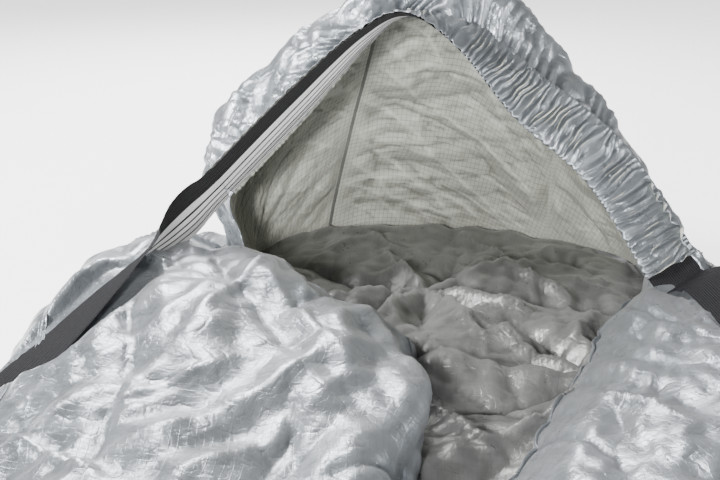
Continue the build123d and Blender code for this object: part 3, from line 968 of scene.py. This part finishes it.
# -------- ground sheet
def floor_cloth():
    """The ground sheet, crumpled up off the ground where it shows in the mouth."""
    random = np.random.default_rng(8)
    columns, rows = 137, 273
    across = np.interp(np.arange(columns), [0, 8, 128, 136], [-1, -0.80, 0.84, 1])
    rows_y = np.interp(np.arange(rows), [0, 80, 96, 264, 272], [-1.045, 0.20, 0.34, 1.0, 1.045])
    wide = np.where(across[:, None] < 0, half_width(rows_y, -1)[None], half_width(rows_y, 1)[None])
    foot_gap, head_gap = rows_y + half_length, half_length - rows_y
    wide = wide - corner_cut(foot_gap, head_gap)
    grid = np.empty((columns, rows, 3))
    grid[..., 0] = across[:, None] * wide
    grid[..., 1] = rows_y[None]
    x, y = grid[..., 0], grid[..., 1]
    # The valley's two sides at places along the sack. The ground sheet is crumpled up between them
    valley_y = [0.30, 0.36, 0.44, 0.56, 0.66, 0.75, 0.90]
    left_side = np.interp(rows_y, valley_y, [0.0, -0.02, -0.01, 0.0, -0.07, -0.13, -0.17])
    right_side = np.interp(rows_y, valley_y, [0.05, 0.06, 0.11, 0.19, 0.23, 0.26, 0.28])
    middle, reach = (left_side + right_side) / 2, (right_side - left_side) / 2 + 0.045
    part = np.clip(1 - ((x - middle[None]) / reach[None]) ** 4, 0, 1)
    ends = np.clip((y - 0.30) / 0.08, 0, 1) * np.clip((1.030 - y) / 0.035, 0, 1)
    ends = ends * ends * (3 - 2 * ends)
    swell = 0.036 + 0.010 * smooth_noise(random, (columns, rows), 28)
    swell = swell + 0.012 * np.exp(-((y - 0.60) / 0.10) ** 2)
    head_wall = np.clip((y - 1.018) / 0.027, 0, 1) ** 0.7 * np.clip(1 - ((x - 0.05) / 0.27) ** 6, 0, 1)
    grid[..., 2] = ground_lowest + swell * part * ends + 0.040 * head_wall
    excess = [0.012 + 0.05 * part * ends] * 2
    hold = np.full((columns, rows), 0.006) + 0.6 * (1 - np.clip(part * ends * 8, 0, 1))
    grid = crumple(grid, excess, hold, 77, lowest=ground_lowest)
    places = grid[..., :2]
    folds = random_folds(random, 46, (-0.10, 0.42), (0.26, 0.98), (0.06, 0.18), (0.004, 0.009),
                         (0.004, 0.010))
    folds += fan((0.03, 0.80), (-165, -140, -118, -96, -75, -50, -28, 0, 35, 70, 110, 150),
                 0.17, 0.011, 0.017)
    folds += fan((0.179, 0.585), (95, 115, 138, 158, 175, 200, 222, 245), 0.16, 0.009, 0.016)
    flat_part = faceted(random, places, ((0.30, 0.060, 2.6, 0.2), (-0.28, 0.034, 2.6, 1.1)))
    rise = (creases(places, folds) + flat_part) * np.clip(part * ends * 2, 0, 1)
    grid[..., 2] = np.maximum(grid[..., 2] + rise, ground_lowest)
    return grid


floor_grid = floor_cloth()
floor_uv = metres_over(floor_grid, 68, 136)
floor_keep = np.ones((floor_grid.shape[0] - 1, floor_grid.shape[1] - 1), bool)
piece = cloth_piece("floor_cloth", floor_grid, floor_uv, floor_keep, [SHADED_SILVER, SILVER])
stand_for(piece, "floor_panel")

# -------- seams and hems on the cloth
sack_normals = normals_of(sack_grid)
for side, at in (("left", tub_seam_column), ("right", right_seam_of_sack)):
    rows = slice(foot_row, sack_rows - 1)
    across = unit(sack_grid[at + 1, rows] - sack_grid[at - 1, rows])
    piece = narrow_band(f"{side}_tub_seam_cloth", sack_grid[at, rows], across, sack_normals[at, rows],
                        *sack_seam, rib=seam_rib)
    stand_for(piece, f"{side}_tub_seam")

columns = slice(2, sack_columns - 2)
across = unit(sack_grid[columns, foot_row + 1] - sack_grid[columns, foot_row - 1])
piece = narrow_band("foot_seam_cloth", sack_grid[columns, foot_row], across,
                    -sack_normals[columns, foot_row], *sack_seam, rib=seam_rib)
stand_for(piece, "foot_seam")

hem_rows = np.flatnonzero((sack_rows_y > slit_tip + 0.004) & (sack_rows_y < 0.86))
left_lip, right_lip = sack_grid[middle_column, hem_rows], sack_grid[middle_column + 1, hem_rows]
left_way = unit(sack_grid[middle_column - 3, hem_rows] - left_lip)
right_way = unit(sack_grid[middle_column + 4, hem_rows] - right_lip)
tip = (left_lip[0] + right_lip[0]) / 2 + np.array([0, -0.004, 0])
hem_line = np.concatenate([left_lip[::-1], [tip], right_lip])
hem_way = np.concatenate([left_way[::-1], [[0, -1, 0]], right_way])
hem_line = hem_line + hem_way * 0.0042
_, hem_out = frame_along(hem_line, hem_way)
stand_for(narrow_band("mouth_hem_cloth", hem_line, hem_way, hem_out, *mouth_hem), "mouth_hem")

for name, columns in (("hood_left_hem", np.flatnonzero(hood_front_places < 2.06)),
                      ("hood_right_hem", np.flatnonzero(hood_front_places > 8.94))):
    rows = hood_grid[columns]
    piece = narrow_band(name + "_cloth", rows[:, 2], unit(rows[:, 4] - rows[:, 0]), hood_normals[columns, 2],
                        *hood_hem)
    stand_for(piece, name, "hood_edge")


# -------- patches, legs and stitching
def tree_of(grid, keep=None):
    faces = [tuple(map(int, face)) for face in grid_faces(*grid.shape[:2], keep=keep)]
    return BVHTree.FromPolygons([Vector(point) for point in grid.reshape(-1, 3)], faces)


sack_tree = tree_of(sack_grid, ~is_slit)
hood_tree = tree_of(hood_grid)
patch_lift, patch_thickness, strap_lift = 0.0009, 0.0008, 0.0022
anchor_patch, hang_patch = (0.064, 0.054), (0.044, 0.036)


def cloth_patch(name, tree, middle, along, across, size):
    """A sewn patch that follows the cloth under it."""
    normal = unit(np.cross(along, across))
    rows, columns = 36, 30
    points = np.empty((rows, columns, 3))
    for row, u in enumerate(np.linspace(-0.5, 0.5, rows)):
        for column, v in enumerate(np.linspace(-0.5, 0.5, columns)):
            spot = Vector(middle + u * size[0] * along + v * size[1] * across + 0.04 * normal)
            hit, out, _, _ = tree.ray_cast(spot, Vector(-normal), 0.10)
            if hit is None:
                hit, out, _, _ = tree.find_nearest(spot)
            out = out if out.dot(Vector(normal)) > 0 else -out
            points[row, column] = hit + out * patch_lift
    points[1:-1, 1:-1] = (points[1:-1, 1:-1] + points[:-2, 1:-1] + points[2:, 1:-1] + points[1:-1, :-2]
                          + points[1:-1, 2:]) / 5
    keep = np.ones((rows - 1, columns - 1), bool)
    return cloth_piece(name, points, metres_over(points, 0, 0), keep, [DARK_PATCH], patch_thickness)


def on_sack(x, y, lift):
    """The point at a lift off the sack's cloth above a place in plan, and the cloth's mean normal there."""
    down, above, reach = Vector((0, 0, -1)), 0.4, 0.02
    hit, _, _, _ = sack_tree.ray_cast(Vector((x, y, above)), down)
    mean = Vector((0, 0, 0))
    for across in np.linspace(-reach, reach, 7):
        for along in np.linspace(-reach, reach, 7):
            _, out, _, _ = sack_tree.ray_cast(Vector((x + across, y + along, above)), down)
            if out is not None:
                mean += out if out.z > 0 else -out
    mean.normalize()
    return np.array(hit + mean * lift), np.array(mean)


def stitches(name, lines, pitch=0.0042, length=0.0031, radius=0.00038):
    """Rows of separate thread stitches along lines of points."""
    points, faces = [], []
    for line in lines:
        line = np.asarray(line, float)
        far = lengths(line)
        for start in np.arange(pitch / 2, far[-1] - pitch / 2, pitch):
            ends = [np.array([np.interp(d, far, line[:, k]) for k in range(3)])
                    for d in (start - length / 2, start + length / 2)]
            way = unit(ends[1] - ends[0])
            side = unit(np.cross(way, (0.3, 0.2, 0.93)))
            up = np.cross(side, way)
            first = len(points)
            for share, wide in ((0, 0.35), (0.14, 1), (0.5, 1.15), (0.86, 1), (1, 0.35)):
                middle = ends[0] + share * (ends[1] - ends[0])
                for corner in range(6):
                    turn = corner * math.pi / 3
                    points.append(middle + radius * wide * (math.cos(turn) * side + math.sin(turn) * up))
            for ring in range(4):
                for corner in range(6):
                    a, b = first + ring * 6 + corner, first + ring * 6 + (corner + 1) % 6
                    faces.append((a, b, b + 6, a + 6))
            faces.append(tuple(first + corner for corner in range(5, -1, -1)))
            faces.append(tuple(first + 24 + corner for corner in range(6)))
    return add_mesh(name, points, faces, [THREAD])


edge_line, edge_way, edge_out, edge_tangent = edge_frame(np.linspace(0, 7, 141))
sewn_length = 0.052
sewn_row = 0.021  # how far the rows of stitches are from the strap's middle
swing_out, swing_in = 0.11, 0.15  # how strongly a leg keeps its two directions where it swings round
# Each leg: its side, the end of the hood's edge that it leaves, where it passes over the mound, and how far
# it has turned over from the hood's edge, as places along it and shares of the turn
legs = (
    ("left", -1, 0, (-0.252, 0.645, 0.124), ([0.8, 2.0, 4.0, 4.9], [0.0, 0.15, 0.62, 1.0])),
    ("right", 1, -1, (0.292, 0.655, 0.101), ([3.5, 4.1, 4.9], [0.0, 0.15, 1.0])),
)
for word, side, end, passing, turned in legs:
    top = edge_line[end] + edge_way[end] * strap_width / 2
    leaving = edge_tangent[end] * (-1 if end == 0 else 1)
    anchor, anchor_out = on_sack(*leg_routes[word][-1][:2], strap_lift)
    pull = unit(anchor - top)
    along = unit(pull - anchor_out * (pull @ anchor_out))
    foot_hit, _ = on_sack(*(anchor + along * sewn_length)[:2], strap_lift)
    half_hit, _ = on_sack(*(anchor + along * sewn_length / 2)[:2], strap_lift)
    # From the hood's edge the leg swings round smoothly to its own line
    share = np.array([[0.25], [0.5], [0.75]])
    swung = ((1 + 2 * share) * (1 - share) ** 2 * top + share * (1 - share) ** 2 * leaving * swing_out
             + share ** 2 * (3 - 2 * share) * np.array(passing) - share ** 2 * (1 - share) * pull * swing_in)
    knots_leg = np.concatenate([[top - leaving * 0.003], swung, [passing, anchor, half_hit, foot_hit]])
    at, _ = even_places(knots_leg, 150)
    centres = spline(knots_leg, at)
    across_end = unit(np.cross(anchor_out, along))
    across_end = across_end * side * np.sign(across_end[0])
    turn = np.interp(at, *turned)[:, None]
    across, out = frame_along(centres, unit(edge_way[end] * (1 - turn) + across_end * turn))
    if out[0] @ edge_out[end] < 0:
        out = -out
    piece = ribbon(f"strap_{word}_leg_elastic", centres, across, out, strap_width, leg_thickness,
                   [CHARCOAL, STRIPED], columns=45, edge_wave=0.0002)
    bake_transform(piece)
    stand_for(piece, f"strap_{word}_leg", None)

    patch = cloth_patch(f"{word}_anchor_patch_cloth", sack_tree, (anchor + foot_hit) / 2, along, across_end,
                        anchor_patch)
    stand_for(patch, f"{word}_anchor_patch")

    sewn = at >= 5
    face = centres[sewn] + out[sewn] * 0.0009
    lines = [face[2:-4] + across[sewn][2:-4] * shift for shift in (-sewn_row, sewn_row)]
    lines += [np.array([face[k] + across[sewn][k] * shift for shift in np.linspace(-sewn_row, sewn_row, 12)])
              for k in (2, -5)]
    stand_for(stitches(f"{word}_anchor_stitching_thread", lines), f"{word}_anchor_stitching")

patch = cloth_patch("hang_loop_patch_cloth", hood_tree, np.array([0.0, 0.872, 0.366]), np.array([1.0, 0, 0]),
                    np.array([0, 1.0, 0]), hang_patch)
follow_hood(patch)
stand_for(patch, "hang_loop_patch", None)


# -------- webbing loops and tabs
loop_route = [(-0.0022, -0.0006), (0.004, -0.0022), (0.014, -0.0034), (0.027, -0.0036), (0.036, -0.0028),
              (0.0402, 0.0002), (0.0365, 0.0030), (0.027, 0.0036), (0.014, 0.0031), (0.004, 0.0018),
              (-0.0022, 0.0008)]


webbing_width, loop_thickness, tab_thickness = 0.020, 0.0013, 0.0015
loop_height, tab_height = 0.0046, 0.0012
tab_start, tab_gap = 1.026, 0.0052  # where each tab starts, and how far short of its loop it ends


def webbing_strip(name, centres, side, thick):
    across, out = frame_along(centres, side)
    return ribbon(name, centres, across, out, webbing_width, thick, [WEBBING], columns=27, ribs=8)


def webbing_loop(name, start, way, up):
    """A flat folded loop of webbing that starts at a point and runs along way."""
    start, way, up = (np.asarray(x, float) for x in (start, way, up))
    at, _ = even_places(loop_route, 90)
    route = spline(loop_route, at)
    return webbing_strip(name, start + route[:, :1] * way + route[:, 1:] * up, np.cross(way, up),
                         loop_thickness)


for end, word_end in ((1, "head"), (-1, "foot")):
    for word_side in ("left", "right"):
        corner = f"{word_end}_{word_side}"
        node = corner + "_stake_loop"
        low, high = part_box(node)
        x, near = (low.x + high.x) / 2, (low.y if end > 0 else high.y)
        loop = webbing_loop(node + "_webbing", (x, near, loop_height), (0, end, 0), (0, 0, 1))
        stand_for(loop, node, node)
        tab_y = np.linspace(end * tab_start, near - end * tab_gap, 20)
        centres = np.stack([np.full(20, x), tab_y, np.full(20, tab_height)], axis=-1)
        tab = webbing_strip(corner + "_loop_tab_webbing", centres, (1, 0, 0), tab_thickness)
        stand_for(tab, corner + "_loop_tab")

swing = [joint for joint in frame["joints"] if joint["name"] == "hang_loop_swing"][0]
hang_slope = math.atan2(-70, 88)
rise_way, run_way = math.sin(hang_slope), math.cos(hang_slope)
loop = webbing_loop("hang_loop_webbing", swing["pos_m"], (0, run_way, rise_way), (0, -rise_way, run_way))
stand_for(loop, "hang_loop", "hang_loop")

# -------- studio floor
studio = Finish("pale_floor", 0.8, 0.2)
pale = studio.mix(studio.noise(3.0), (0.90, 0.90, 0.90), (0.93, 0.93, 0.93))
studio.fill(studio.shader, {"Base Color": pale, "Emission Color": (1.0, 1.0, 1.0), "Emission Strength": 1.8})
reach = 30
corners = [(x * reach, y * reach, -0.001) for x, y in ((-1, -1), (1, -1), (1, 1), (-1, 1))]
ground = add_mesh("studio_floor", corners, [(0, 1, 2, 3)], [studio.material])
ground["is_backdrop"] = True

# -------- size
low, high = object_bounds()
